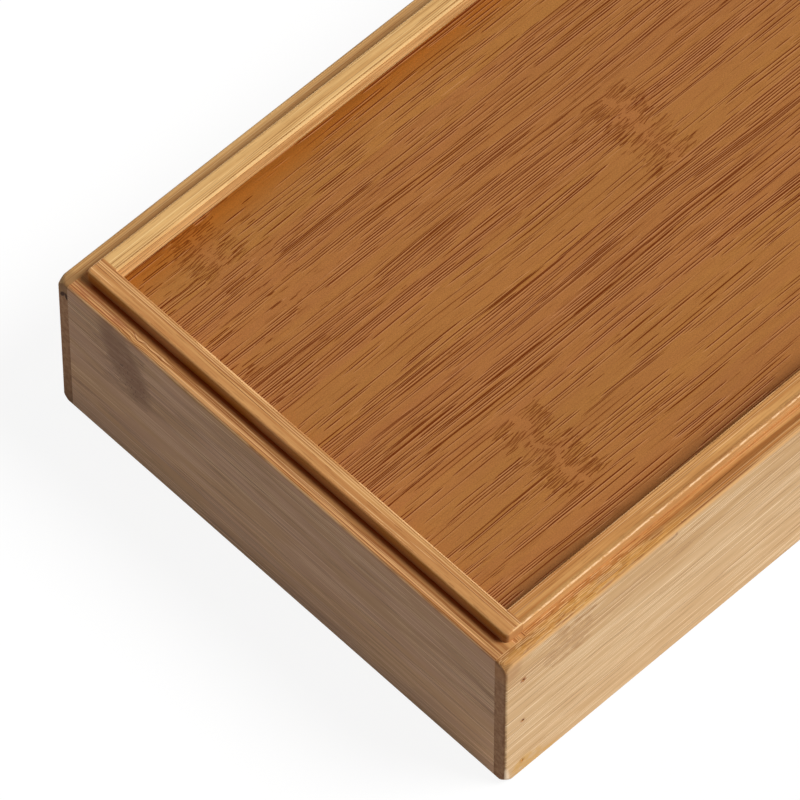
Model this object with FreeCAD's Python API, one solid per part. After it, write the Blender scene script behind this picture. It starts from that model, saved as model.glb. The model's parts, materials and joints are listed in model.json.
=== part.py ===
import FreeCAD, Part
import math
import os

# Stacking tea bag drawer box, built from three-ply bamboo boards. Millimetres.
# X runs across the box, -Y is the drawer front, +Y is the closed back, +Z is up.
# The origin is at the middle of the footprint, on the surface the box stands on.

# Case: outside size
CASE_WIDTH = 254.0          # outside, across X
CASE_LENGTH = 356.0         # outside, along Y
LEDGE_HEIGHT = 85.0         # floor to the ledge that carries the next box
TONGUE_RISE = 6.0           # ledge to the top of the locating tongue
BOARD_T = 17.2              # thickness of every case board
LEDGE_WIDTH = 8.2           # width of the ledge outside the tongue
CHEEK_T = 6.1               # outer ply that laps over the ends of the cross boards

# Case: eased edges
ARRIS_R = 1.3               # sanded edges of ledge and tongue
POST_ARRIS_R = 1.5          # outer edges round each side board
FOOT_ARRIS_R = 2.2          # outer bottom edge of the cross boards
CORNER_REACH = 7.5          # how far a sanded corner of the case runs along each edge
CORNER_EASE_R = 1.5         # blend between a sanded corner and the faces round it
TONGUE_CORNER_R = 2.2       # tongue corner, seen from above
TONGUE_CORNER_REACH = 3.5   # how far the tongue's sanded top corners run along each edge

# Case: stacking recess and panels
STACK_CLEARANCE = 0.6       # side play between a tongue and the recess above it
STACK_HEADROOM = 1.0        # recess depth beyond the tongue's rise
TRAY_DEPTH = 8.0            # tongue top down to the top panel
TOP_PANEL_T = 5.0
BOTTOM_PANEL_T = 5.0
PANEL_GROOVE = 4.0          # depth of the panel grooves in the boards
PANEL_PLAY = 0.5            # room for the panels to swell in their grooves
FLOOR_WEB = 2.0             # wood between the stacking recess and the bottom panel
RAIL_COVER_LOW = 3.0        # bottom rail above the bottom panel
RAIL_COVER_HIGH = 4.0       # top rail below the top panel
RUNNER_WIDTH = 14.0

# Drawer
SIDE_PLAY = 0.8             # drawer to side board, each side
SLIDE_GAP = 0.3             # drawer to runner, and drawer back to case back
FRONT_GAP = 0.8             # gap above and below the drawer front
FRONT_T = 12.0
FRONT_LAP = 6.0             # how far the drawer sides enter the front
DRAWER_SIDE_T = 7.0
DRAWER_BACK_T = 7.0
DRAWER_SIDE_H = 52.0
STOP_GAP = 0.8              # top of the drawer back to the underside of the top panel
DRAWER_FLOOR_T = 4.0
DRAWER_FLOOR_LIFT = 3.0     # lower edge of the drawer to its bottom panel
DRAWER_GROOVE = 3.0
DRAWER_ARRIS_R = 1.0
PULL_WIDTH = 70.0           # finger cut-out in the top edge of the front
PULL_DEPTH = 16.0
PULL_SHOULDER_R = 4.0

# Divider grid, which drops into the drawer
DIVIDER_T = 4.0
DIVIDER_H = 40.0
DIVIDER_PLAY = 0.3          # ends of the dividers to the drawer
SLOT_PLAY = 0.15            # each side of a divider in its slot
DIVIDER_ARRIS_R = 0.8
COLUMNS = 3
ROWS = 4

# Brads
BRAD_R = 0.65
BRAD_HOLE_PLAY = 0.05
BRAD_SUNK = 0.3             # head below the face of the wood
CASE_BRAD_L = 28.0
CASE_BRAD_SETBACK = 9.6     # from the end of the side board
CASE_BRAD_LOW = 8.5         # lowest brad above the floor
CASE_BRAD_PITCH = 29.5
CASE_BRAD_ROWS = 3
DRAWER_BRAD_L = 18.0
DRAWER_BRAD_INSET = 12.0    # from the lower and upper edge of the drawer side

PAST = 5.0                  # how far a cutter runs past the wood it cuts

# Derived planes of the case
HALF_W = CASE_WIDTH / 2
HALF_L = CASE_LENGTH / 2
TOP = LEDGE_HEIGHT + TONGUE_RISE
INNER_X = HALF_W - BOARD_T
INNER_Y = HALF_L - BOARD_T
LAP_X = HALF_W - CHEEK_T
TONGUE_X = HALF_W - LEDGE_WIDTH
TONGUE_Y = HALF_L - LEDGE_WIDTH
RECESS_X = TONGUE_X + STACK_CLEARANCE
RECESS_Y = TONGUE_Y + STACK_CLEARANCE
RECESS_DEPTH = TONGUE_RISE + STACK_HEADROOM
TOP_PANEL_Z = TOP - TRAY_DEPTH - TOP_PANEL_T
BOTTOM_PANEL_Z = RECESS_DEPTH + FLOOR_WEB
RUNNER_Z = BOTTOM_PANEL_Z + BOTTOM_PANEL_T
OPENING_LOW = RUNNER_Z + RAIL_COVER_LOW
OPENING_HIGH = TOP_PANEL_Z - RAIL_COVER_HIGH

# Derived planes of the drawer
DRAWER_X = INNER_X - SIDE_PLAY
DRAWER_IN_X = DRAWER_X - DRAWER_SIDE_T
FRONT_REAR_Y = -HALF_L + FRONT_T
LAP_Y = FRONT_REAR_Y - FRONT_LAP
DRAWER_REAR_Y = INNER_Y - SLIDE_GAP
BACK_FRONT_Y = DRAWER_REAR_Y - DRAWER_BACK_T
DRAWER_Z = OPENING_LOW + SLIDE_GAP
DRAWER_SIDE_TOP = DRAWER_Z + DRAWER_SIDE_H
DRAWER_FLOOR_Z = DRAWER_Z + DRAWER_FLOOR_LIFT
GRID_Z = DRAWER_FLOOR_Z + DRAWER_FLOOR_T
TRAVEL = BACK_FRONT_Y + INNER_Y - SLIDE_GAP


def block(x0, x1, y0, y1, z0, z1):
    """A box between two corners."""
    return Part.makeBox(x1 - x0, y1 - y0, z1 - z0, FreeCAD.Vector(x0, y0, z0))


def edges_where(shape, test):
    """Edges whose bounding box passes the test."""
    return [edge for edge in shape.Edges if test(edge.BoundBox)]


def at(low, high, value):
    """True when a span lies at one value."""
    return abs(low - value) < 1e-4 and abs(high - value) < 1e-4


def eased(shape, radius, test):
    """The shape with the picked edges rounded."""
    return shape.makeFillet(radius, edges_where(shape, test))


def joined(*shapes):
    """One clean solid from touching shapes."""
    whole = shapes[0].multiFuse(list(shapes[1:])).removeSplitter()
    return whole.Solids[0]


def cut(shape, *tools):
    """One clean solid with the tools taken away."""
    for tool in tools:
        shape = shape.cut(tool)
    return shape.removeSplitter().Solids[0]


def mirrored_x(shape):
    """The same shape on the other side of the box."""
    return shape.mirror(FreeCAD.Vector(0, 0, 0), FreeCAD.Vector(1, 0, 0))


# Outside of the case and cutters shared by its boards
def rounding(x, y, z, reach):
    """What sanding takes off the outer corner at a point: the corner of a cube that a ball leaves out.

    The ball's middle lies the reach inside on every axis, and the ball meets each edge at the reach.
    """
    up = math.copysign(1, z - LEDGE_HEIGHT / 2)
    ways = (math.copysign(1, x), math.copysign(1, y), up)
    inside = [value - way * reach for value, way in zip((x, y, z), ways)]
    outside = [value + way * PAST for value, way in zip((x, y, z), ways)]
    x0, y0, z0 = [min(pair) for pair in zip(inside, outside)]
    x1, y1, z1 = [max(pair) for pair in zip(inside, outside)]
    return block(x0, x1, y0, y1, z0, z1).cut(Part.makeSphere(reach * math.sqrt(2), FreeCAD.Vector(*inside)))


def sanded_case():
    """The outside of the glued case up to its ledge: eased edges and corners sanded round."""
    case = block(-HALF_W, HALF_W, -HALF_L, HALF_L, 0, LEDGE_HEIGHT)
    along_x = lambda b: at(b.YMin, b.YMax, b.YMin) and at(b.ZMin, b.ZMax, b.ZMin)
    case = eased(case, ARRIS_R, lambda b: along_x(b) and b.ZMin > LEDGE_HEIGHT / 2)
    case = eased(case, FOOT_ARRIS_R, lambda b: along_x(b) and b.ZMax < LEDGE_HEIGHT / 2)
    case = eased(case, POST_ARRIS_R, lambda b: at(b.XMin, b.XMax, -HALF_W) or at(b.XMin, b.XMax, HALF_W))
    case = cut(case, *[rounding(x, y, z, CORNER_REACH)
                       for x in (-HALF_W, HALF_W) for y in (-HALF_L, HALF_L) for z in (0, LEDGE_HEIGHT)])
    rims = [edge for edge in case.Edges if edge.Curve.TypeId == "Part::GeomCircle"
            and abs(edge.Curve.Radius - CORNER_REACH) < 1e-4]
    return case.makeFillet(CORNER_EASE_R, rims)


def tongue_ring():
    """The tongue all round the top, with its inner and outer arrises eased."""
    outer = block(-TONGUE_X, TONGUE_X, -TONGUE_Y, TONGUE_Y, LEDGE_HEIGHT, TOP)
    outer = eased(outer, TONGUE_CORNER_R,
                  lambda b: at(b.XMin, b.XMax, b.XMin) and at(b.YMin, b.YMax, b.YMin))
    well = block(-INNER_X, INNER_X, -INNER_Y, INNER_Y, LEDGE_HEIGHT - PAST, TOP + PAST)
    ring = eased(outer.cut(well), ARRIS_R, lambda b: at(b.ZMin, b.ZMax, TOP))
    return cut(ring, *[rounding(x, y, TOP, TONGUE_CORNER_REACH)
                       for x in (-TONGUE_X, TONGUE_X) for y in (-TONGUE_Y, TONGUE_Y)])


def stack_recess():
    """The hollow underneath that takes the tongue of the box below."""
    hollow = block(-RECESS_X, RECESS_X, -RECESS_Y, RECESS_Y, -PAST, RECESS_DEPTH)
    return eased(hollow, TONGUE_CORNER_R + STACK_CLEARANCE,
                 lambda b: at(b.XMin, b.XMax, b.XMin) and at(b.YMin, b.YMax, b.YMin))


def panel(z, thickness, reach):
    """A panel that reaches into the boards by the given depth."""
    x = INNER_X + reach
    y = INNER_Y + reach
    return block(-x, x, -y, y, z, z + thickness)


CASE = sanded_case()
RING = tongue_ring()
RECESS = stack_recess()
TOP_GROOVE = panel(TOP_PANEL_Z, TOP_PANEL_T, PANEL_GROOVE)
BOTTOM_GROOVE = panel(BOTTOM_PANEL_Z, BOTTOM_PANEL_T, PANEL_GROOVE)


# Brads
def brad(x_face, side, y, z, length, radius):
    """A pin along X, sunk below the outer face, on the left (-1) or right (+1) side."""
    start = FreeCAD.Vector(side * (x_face - BRAD_SUNK), y, z)
    return Part.makeCylinder(radius, length, start, FreeCAD.Vector(-side, 0, 0))


def brad_hole(x_face, side, y, z, length):
    """The hole that a brad leaves, open to the outer face."""
    start = FreeCAD.Vector(side * (x_face + PAST), y, z)
    reach = length + BRAD_SUNK + PAST
    return Part.makeCylinder(BRAD_R + BRAD_HOLE_PLAY, reach, start, FreeCAD.Vector(-side, 0, 0))


def case_brad_places():
    """Height and depth of the brads in one side board."""
    rear = HALF_L - CASE_BRAD_SETBACK
    places = [(rear, CASE_BRAD_LOW + row * CASE_BRAD_PITCH) for row in range(CASE_BRAD_ROWS)]
    places.append((-rear, CASE_BRAD_LOW))
    places.append((-rear, (OPENING_HIGH + LEDGE_HEIGHT) / 2))
    return places


def drawer_brad_places():
    """Height and depth of the brads in one drawer side."""
    heights = (DRAWER_Z + DRAWER_BRAD_INSET, DRAWER_SIDE_TOP - DRAWER_BRAD_INSET)
    depths = ((LAP_Y + FRONT_REAR_Y) / 2, (BACK_FRONT_Y + DRAWER_REAR_Y) / 2)
    return [(y, z) for y in depths for z in heights]


def brads(x_face, places, length):
    """All brads of the case or of the drawer, as separate solids in one group."""
    pins = [brad(x_face, side, y, z, length, BRAD_R) for side in (-1, 1) for y, z in places]
    return Part.makeCompound(pins)


def drilled(shape, x_face, places, length):
    """The shape with its brad holes, on both sides of the box."""
    holes = [brad_hole(x_face, side, y, z, length) for side in (-1, 1) for y, z in places]
    reached = [hole for hole in holes if hole.BoundBox.intersect(shape.BoundBox)]
    return cut(shape, *reached)


def drilled_case(shape):
    return drilled(shape, HALF_W, case_brad_places(), CASE_BRAD_L)


def drilled_drawer(shape):
    return drilled(shape, DRAWER_X, drawer_brad_places(), DRAWER_BRAD_L)


# Case
def side_board():
    """Left board: full length, notched behind its outer ply for the cross boards."""
    board = CASE.common(block(-HALF_W, -INNER_X, -HALF_L, HALF_L, 0, LEDGE_HEIGHT))
    tongue = RING.common(block(-HALF_W, -INNER_X, -INNER_Y, INNER_Y, LEDGE_HEIGHT, TOP))
    back_lap = block(-LAP_X, 0, INNER_Y, HALF_L + PAST, -PAST, TOP)
    low_lap = block(-LAP_X, 0, -HALF_L - PAST, -INNER_Y, -PAST, OPENING_LOW)
    high_lap = block(-LAP_X, 0, -HALF_L - PAST, -INNER_Y, OPENING_HIGH, TOP)
    board = cut(joined(board, tongue), back_lap, low_lap, high_lap)
    return drilled_case(cut(board, RECESS, TOP_GROOVE, BOTTOM_GROOVE))


def cross_tongue(front):
    """The tongue over a cross board, running right across the box."""
    y0, y1 = (-HALF_L, -INNER_Y) if front else (INNER_Y, HALF_L)
    return RING.common(block(-HALF_W, HALF_W, y0, y1, LEDGE_HEIGHT, TOP))


def back_board():
    """Closed end of the case, between the outer plies of the side boards."""
    board = CASE.common(block(-LAP_X, LAP_X, INNER_Y, HALF_L, 0, LEDGE_HEIGHT))
    board = joined(board, cross_tongue(front=False))
    return drilled_case(cut(board, RECESS, TOP_GROOVE, BOTTOM_GROOVE))


def front_top_rail():
    """Rail over the drawer front, with the ledge and the tongue on top."""
    rail = CASE.common(block(-LAP_X, LAP_X, -HALF_L, -INNER_Y, OPENING_HIGH, LEDGE_HEIGHT))
    rail = joined(rail, cross_tongue(front=True))
    return drilled_case(cut(rail, TOP_GROOVE))


def front_bottom_rail():
    """Rail under the drawer front, level with the tops of the runners."""
    rail = CASE.common(block(-LAP_X, LAP_X, -HALF_L, -INNER_Y, 0, OPENING_LOW))
    return drilled_case(cut(rail, RECESS, BOTTOM_GROOVE))


def runner():
    """Left strip on the bottom panel that carries one drawer side."""
    return block(-INNER_X, -INNER_X + RUNNER_WIDTH, -INNER_Y, INNER_Y, RUNNER_Z, OPENING_LOW)


# Drawer
def drawer_floor(reach):
    """The drawer's bottom panel, reaching into its four grooves by the given depth."""
    x = DRAWER_IN_X + reach
    return block(-x, x, FRONT_REAR_Y - reach, BACK_FRONT_Y + reach,
                 DRAWER_FLOOR_Z, DRAWER_FLOOR_Z + DRAWER_FLOOR_T)


FLOOR_GROOVE = drawer_floor(DRAWER_GROOVE)


def side_blank():
    """Left side of the drawer before its groove is cut."""
    side = block(-DRAWER_X, -DRAWER_IN_X, LAP_Y, DRAWER_REAR_Y, DRAWER_Z, DRAWER_SIDE_TOP)
    return eased(side, DRAWER_ARRIS_R, lambda b: at(b.ZMin, b.ZMax, DRAWER_SIDE_TOP)
                 and at(b.XMin, b.XMax, b.XMin))


def drawer_side():
    return drilled_drawer(cut(side_blank(), FLOOR_GROOVE))


def drawer_front():
    """Inset front, flush with the case, with a scooped finger cut-out."""
    low = OPENING_LOW + FRONT_GAP
    high = OPENING_HIGH - FRONT_GAP
    front = block(-DRAWER_X, DRAWER_X, -HALF_L, FRONT_REAR_Y, low, high)
    scoop_r = ((PULL_WIDTH / 2) ** 2 + PULL_DEPTH ** 2) / (2 * PULL_DEPTH)
    scoop = Part.makeCylinder(scoop_r, FRONT_T + 2 * PAST,
                              FreeCAD.Vector(0, -HALF_L - PAST, high - PULL_DEPTH + scoop_r),
                              FreeCAD.Vector(0, 1, 0))
    front = front.cut(scoop)
    shoulder = PULL_WIDTH / 2 + PAST
    front = eased(front, PULL_SHOULDER_R,
                  lambda b: at(b.XMin, b.XMax, b.XMin) and at(b.ZMin, b.ZMax, high)
                  and abs(b.XMin) < shoulder)
    front = eased(front, DRAWER_ARRIS_R, lambda b: at(b.YMin, b.YMax, -HALF_L))
    front = eased(front, DRAWER_ARRIS_R, lambda b: at(b.YMin, b.YMax, FRONT_REAR_Y) and b.ZMin > low
                  and b.XMin > -DRAWER_X + PAST and b.XMax < DRAWER_X - PAST)
    lap = block(-DRAWER_X - PAST, -DRAWER_IN_X, LAP_Y, FRONT_REAR_Y + PAST, low - PAST, DRAWER_SIDE_TOP)
    return drilled_drawer(cut(front, lap, mirrored_x(lap), FLOOR_GROOVE))


def drawer_back():
    """Back between the sides, tall enough to catch the top rail when pulled right out."""
    back = block(-DRAWER_IN_X, DRAWER_IN_X, BACK_FRONT_Y, DRAWER_REAR_Y, DRAWER_Z, TOP_PANEL_Z - STOP_GAP)
    back = eased(back, DRAWER_ARRIS_R, lambda b: at(b.YMin, b.YMax, b.YMin)
                 and at(b.ZMin, b.ZMax, TOP_PANEL_Z - STOP_GAP))
    return drilled_drawer(cut(back, FLOOR_GROOVE))


# Divider grid
def spaced(low, high, count):
    """Centres of the dividers that part a length into equal compartments."""
    clear = (high - low - (count - 1) * DIVIDER_T) / count
    return [low + clear * (i + 1) + DIVIDER_T * (i + 0.5) for i in range(count - 1)]


LONG_X = spaced(-DRAWER_IN_X, DRAWER_IN_X, COLUMNS)
CROSS_Y = spaced(FRONT_REAR_Y, BACK_FRONT_Y, ROWS)
SLOT_HALF = DIVIDER_T / 2 + SLOT_PLAY
SLOT_Z = GRID_Z + DIVIDER_H / 2


def long_divider(x):
    """Divider along the drawer, slotted from above."""
    board = block(x - DIVIDER_T / 2, x + DIVIDER_T / 2, FRONT_REAR_Y + DIVIDER_PLAY,
                  BACK_FRONT_Y - DIVIDER_PLAY, GRID_Z, GRID_Z + DIVIDER_H)
    board = eased(board, DIVIDER_ARRIS_R, lambda b: at(b.ZMin, b.ZMax, GRID_Z + DIVIDER_H)
                  and at(b.XMin, b.XMax, b.XMin))
    slots = [block(x - DIVIDER_T, x + DIVIDER_T, y - SLOT_HALF, y + SLOT_HALF,
                   SLOT_Z - SLOT_PLAY, SLOT_Z + DIVIDER_H) for y in CROSS_Y]
    return cut(board, *slots)


def cross_divider(y):
    """Divider across the drawer, slotted from below."""
    board = block(-DRAWER_IN_X + DIVIDER_PLAY, DRAWER_IN_X - DIVIDER_PLAY, y - DIVIDER_T / 2,
                  y + DIVIDER_T / 2, GRID_Z, GRID_Z + DIVIDER_H)
    board = eased(board, DIVIDER_ARRIS_R, lambda b: at(b.ZMin, b.ZMax, GRID_Z + DIVIDER_H)
                  and at(b.YMin, b.YMax, b.YMin))
    slots = [block(x - SLOT_HALF, x + SLOT_HALF, y - DIVIDER_T, y + DIVIDER_T,
                   GRID_Z - DIVIDER_H, SLOT_Z + SLOT_PLAY) for x in LONG_X]
    return cut(board, *slots)


def pieces():
    """Every piece by its node name."""
    left_side = side_board()
    left_drawer_side = drawer_side()
    left_runner = runner()
    nodes = {
        "side_board_left": left_side,
        "side_board_right": mirrored_x(left_side),
        "back_board": back_board(),
        "front_top_rail": front_top_rail(),
        "front_bottom_rail": front_bottom_rail(),
        "top_panel": panel(TOP_PANEL_Z, TOP_PANEL_T, PANEL_GROOVE - PANEL_PLAY),
        "bottom_panel": panel(BOTTOM_PANEL_Z, BOTTOM_PANEL_T, PANEL_GROOVE - PANEL_PLAY),
        "runner_left": left_runner,
        "runner_right": mirrored_x(left_runner),
        "case_brads": brads(HALF_W, case_brad_places(), CASE_BRAD_L),
        "drawer_front": drawer_front(),
        "drawer_side_left": left_drawer_side,
        "drawer_side_right": mirrored_x(left_drawer_side),
        "drawer_back": drawer_back(),
        "drawer_bottom": drawer_floor(DRAWER_GROOVE - PANEL_PLAY),
        "drawer_brads": brads(DRAWER_X, drawer_brad_places(), DRAWER_BRAD_L),
    }
    for i, x in enumerate(LONG_X):
        nodes[f"long_divider_{i + 1}"] = long_divider(x)
    for i, y in enumerate(CROSS_Y):
        nodes[f"cross_divider_{i + 1}"] = cross_divider(y)
    return nodes


os.makedirs("parts", exist_ok=True)
for name, shape in pieces().items():
    shape.exportStep(f"parts/{name}.step")
    box = shape.BoundBox
    print(f"{name:20s} solids {len(shape.Solids):2d}  volume {shape.Volume / 1000:8.1f} cm3  "
          f"valid {shape.isValid()}  z {box.ZMin:.1f} to {box.ZMax:.1f}")
print(f"drawer travel {TRAVEL:.1f}, opening z {OPENING_LOW:.1f} to {OPENING_HIGH:.1f}")
print(f"columns at {LONG_X}, rows at {CROSS_Y}")
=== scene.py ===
# %% [markdown]
# # A stacking tea bag box in bamboo
#
# The object is a low case of thick three-ply bamboo boards with one long drawer in its front end.
# A raised tongue runs round the top, so that a second box can stand on the ledge outside it, and a
# darker panel lies sunken inside the tongue.
#
# Every solid piece already has its right shape. What is left is how bamboo looks, and that is the
# whole lesson: one grass, cut in three directions, looks like three different woods.

# %% Load the frame
import inspect
import json
import math

import bpy
import numpy as np
from mathutils import Matrix, Vector


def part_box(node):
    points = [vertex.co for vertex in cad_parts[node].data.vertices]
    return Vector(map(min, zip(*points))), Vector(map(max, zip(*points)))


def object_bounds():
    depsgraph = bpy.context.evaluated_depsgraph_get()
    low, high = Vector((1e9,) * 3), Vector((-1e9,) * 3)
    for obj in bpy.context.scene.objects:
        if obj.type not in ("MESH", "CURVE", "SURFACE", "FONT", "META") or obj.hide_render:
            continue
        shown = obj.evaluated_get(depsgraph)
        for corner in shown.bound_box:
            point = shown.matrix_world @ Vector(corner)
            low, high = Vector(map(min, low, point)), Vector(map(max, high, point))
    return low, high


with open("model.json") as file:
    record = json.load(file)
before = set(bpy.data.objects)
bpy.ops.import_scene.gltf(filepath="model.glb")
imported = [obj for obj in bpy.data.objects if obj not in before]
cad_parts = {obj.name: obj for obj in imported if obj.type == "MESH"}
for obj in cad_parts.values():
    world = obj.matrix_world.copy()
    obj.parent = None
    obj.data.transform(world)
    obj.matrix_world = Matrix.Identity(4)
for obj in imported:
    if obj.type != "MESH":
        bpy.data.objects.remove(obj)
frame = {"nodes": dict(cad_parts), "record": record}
solid_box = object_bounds()
scene = bpy.context.scene
scene.view_settings.view_transform = "Standard"
MM = 0.001
print("pieces:", len(frame["nodes"]), "box:", [round(v / MM, 1) for v in solid_box[1] - solid_box[0]])

# %% [markdown]
# ## Camera
#
# The box is shown from behind its closed end, from high up and far away through a long lens, so its
# parallel edges hardly converge. A camera can be given as angles or as three directions. Angles are
# easier to read, so the directions are worked out from them, and the roll is what is left.

# %% Camera
CAMERA_PLACE = Vector((-1584.07, 1628.61, 3357.29)) * MM
AZIMUTH = math.radians(226.25)
ELEVATION = math.radians(56.32)
ROLL = math.radians(-0.22)
LENS = 452.26
SENSOR = 36.0


def camera_axes(azimuth, elevation, roll):
    """Right, up and backward directions: back points from the object to the camera, and roll turns the
    other two about it."""
    back = Vector((math.sin(azimuth) * math.cos(elevation), -math.cos(azimuth) * math.cos(elevation),
                   math.sin(elevation)))
    level = Vector((math.cos(azimuth), math.sin(azimuth), 0.0))
    turn = Matrix.Rotation(roll, 3, back)
    return turn @ level, turn @ back.cross(level), back


def make_camera():
    """A long lens at the camera's place, turned by its three directions."""
    data = bpy.data.cameras.new("camera")
    data.lens = LENS
    data.sensor_width = SENSOR
    camera = bpy.data.objects.new("camera", data)
    scene.collection.objects.link(camera)
    pose = Matrix(camera_axes(AZIMUTH, ELEVATION, ROLL)).transposed().to_4x4()
    pose.translation = CAMERA_PLACE
    camera.matrix_world = pose
    scene.camera = camera
    return camera


print("camera at", [round(v, 3) for v in make_camera().location])

# %% [markdown]
# ## Light
#
# One large soft lamp stands to the left of the box, in front of its drawer, about 51 degrees up. A
# faint wide lamp fills the other side, and the world gives an even ground of light. A sun lamp with
# a wide angle casts the soft shadow of a studio lamp, and it lights a box of any size alike.

# %% Lamps and world
KEY_FROM = (-0.68, -0.62, 1.13)
KEY_POWER = 1.14 * math.pi
KEY_SOFTNESS = 26.0
FILL_FROM = (1.0, 0.0, 0.25)
FILL_POWER = 0.35 * math.pi
FILL_SOFTNESS = 60.0
GROUND_LIGHT = 0.10


def make_lamp(name, towards, power, softness):
    """A distant lamp that shines from a direction and looks softness degrees wide."""
    data = bpy.data.lights.new(name, "SUN")
    data.energy = power
    data.angle = math.radians(softness)
    lamp = bpy.data.objects.new(name, data)
    scene.collection.objects.link(lamp)
    lamp.rotation_mode = "QUATERNION"
    lamp.rotation_quaternion = Vector(towards).to_track_quat("Z", "Y")
    return lamp


def seen_directly(tree):
    """1 for a ray from the camera, a mirror or glass, and 0 for a ray that gathers light."""
    path = tree.nodes.new("ShaderNodeLightPath")
    total = path.outputs["Is Camera Ray"]
    for name in ("Is Glossy Ray", "Is Transmission Ray"):
        either = tree.nodes.new("ShaderNodeMath")
        either.operation = "MAXIMUM"
        tree.links.new(total, either.inputs[0])
        tree.links.new(path.outputs[name], either.inputs[1])
        total = either.outputs[0]
    return total


def make_world():
    """White where it is seen, and a dim even light where it only shines."""
    world = bpy.data.worlds.new("studio")
    world.use_nodes = True
    tree = world.node_tree
    level = tree.nodes.new("ShaderNodeMapRange")
    level.inputs["To Min"].default_value = GROUND_LIGHT
    level.inputs["To Max"].default_value = 1.0
    tree.links.new(seen_directly(tree), level.inputs["Value"])
    tree.links.new(level.outputs["Result"], tree.nodes["Background"].inputs["Strength"])
    tree.nodes["Background"].inputs["Color"].default_value = (1.0, 1.0, 1.0, 1.0)
    scene.world = world


make_lamp("key_lamp", KEY_FROM, KEY_POWER, KEY_SOFTNESS)
make_lamp("fill_lamp", FILL_FROM, FILL_POWER, FILL_SOFTNESS)
make_world()
print("key lamp is", round(math.degrees(math.asin(Vector(KEY_FROM).normalized().z))), "degrees up")

# %% [markdown]
# ## Floor
#
# A plain studio has a white ground that still holds a trace of shadow. The floor is a pale
# matt sheet for the light that bounces off it. Where it is seen, most of its white shines by itself,
# and only the rest is lit, so the shadow stays faint.

# %% Floor
FLOOR_REACH = 8.0
FLOOR_PALE = 0.6
FLOOR_GLOW = 0.90
FLOOR_SHADED = 0.10


def make_floor():
    """A wide pale sheet: lit like matt paper, but mostly glowing white where it is seen."""
    mesh = bpy.data.meshes.new("floor")
    corners = np.array([(-1, -1, 0), (1, -1, 0), (1, 1, 0), (-1, 1, 0)]) * FLOOR_REACH
    mesh.from_pydata(corners.tolist(), [], [(0, 1, 2, 3)])
    floor = bpy.data.objects.new("floor", mesh)
    scene.collection.objects.link(floor)
    material = bpy.data.materials.new("pale_floor")
    material.use_nodes = True
    tree = material.node_tree
    tree.nodes.clear()
    sheet, trace = (tree.nodes.new("ShaderNodeBsdfDiffuse") for _ in range(2))
    sheet.inputs["Color"].default_value = (FLOOR_PALE, FLOOR_PALE, FLOOR_PALE, 1.0)
    trace.inputs["Color"].default_value = (FLOOR_SHADED, FLOOR_SHADED, FLOOR_SHADED, 1.0)
    glow = tree.nodes.new("ShaderNodeEmission")
    glow.inputs["Strength"].default_value = FLOOR_GLOW
    both = tree.nodes.new("ShaderNodeAddShader")
    choice = tree.nodes.new("ShaderNodeMixShader")
    output = tree.nodes.new("ShaderNodeOutputMaterial")
    tree.links.new(trace.outputs[0], both.inputs[0])
    tree.links.new(glow.outputs[0], both.inputs[1])
    tree.links.new(seen_directly(tree), choice.inputs[0])
    tree.links.new(sheet.outputs[0], choice.inputs[1])
    tree.links.new(both.outputs[0], choice.inputs[2])
    tree.links.new(choice.outputs[0], output.inputs["Surface"])
    mesh.materials.append(material)
    return floor


print("floor:", make_floor().dimensions[:2])

# %% [markdown]
# ## Fields
#
# A pattern that needs no image is arithmetic on a position. Written with raw nodes it is hard to read,
# so a small class wraps one output socket and calls it a field: a number, or a colour, at every
# point of a surface. Adding or multiplying fields adds a math node and gives the next field.

# %% Fields


def plug(value, socket):
    """Feeds a field into a socket, or writes a plain number or colour there."""
    if isinstance(value, Field):
        socket.id_data.links.new(value.socket, socket)
    else:
        socket.default_value = value


class Field:
    """A number or colour at every point of a surface."""

    def __init__(self, socket):
        self.socket = socket
        self.tree = socket.id_data

    def math(self, operation, *others):
        node = self.tree.nodes.new("ShaderNodeMath")
        node.operation = operation
        for value, socket in zip((self, *others), node.inputs):
            plug(value, socket)
        return Field(node.outputs[0])

    def __add__(self, other):
        return self.math("ADD", other)

    def __sub__(self, other):
        return self.math("SUBTRACT", other)

    def __mul__(self, other):
        return self.math("MULTIPLY", other)

    def __truediv__(self, other):
        return self.math("DIVIDE", other)

    def __neg__(self):
        return self * -1.0

    def __abs__(self):
        return self.math("ABSOLUTE")

    def floor(self):
        return self.math("FLOOR")

    def fraction(self):
        return self.math("FRACT")

    def above(self, level):
        """1 where the field is above a level, and 0 elsewhere."""
        return self.math("GREATER_THAN", level)

    def largest(self, other):
        return self.math("MAXIMUM", other)

    def squared(self):
        return self * self

    def limited(self):
        """The field cut off below 0 and above 1."""
        result = self.math("ADD", 0.0)
        result.socket.node.use_clamp = True
        return result

    def rise(self, low, high):
        """0 up to low, 1 from high on, and a smooth slope between. It falls if low is the larger."""
        node = self.tree.nodes.new("ShaderNodeMapRange")
        node.interpolation_type = "SMOOTHSTEP"
        plug(self, node.inputs["Value"])
        plug(low, node.inputs["From Min"])
        plug(high, node.inputs["From Max"])
        return Field(node.outputs["Result"])


def noise(*places, detail=2.0, rough=0.5):
    """Smooth noise round 0.5, of one, two or three places counted in lumps."""
    tree = places[0].tree
    node = tree.nodes.new("ShaderNodeTexNoise")
    node.noise_dimensions = f"{len(places)}D"
    if len(places) == 1:
        plug(places[0], node.inputs["W"])
    else:
        join = tree.nodes.new("ShaderNodeCombineXYZ")
        for place, socket in zip(places, join.inputs):
            plug(place, socket)
        tree.links.new(join.outputs[0], node.inputs["Vector"])
    node.inputs["Scale"].default_value = 1.0
    node.inputs["Detail"].default_value = detail
    node.inputs["Roughness"].default_value = rough
    return Field(node.outputs[0])


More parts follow.
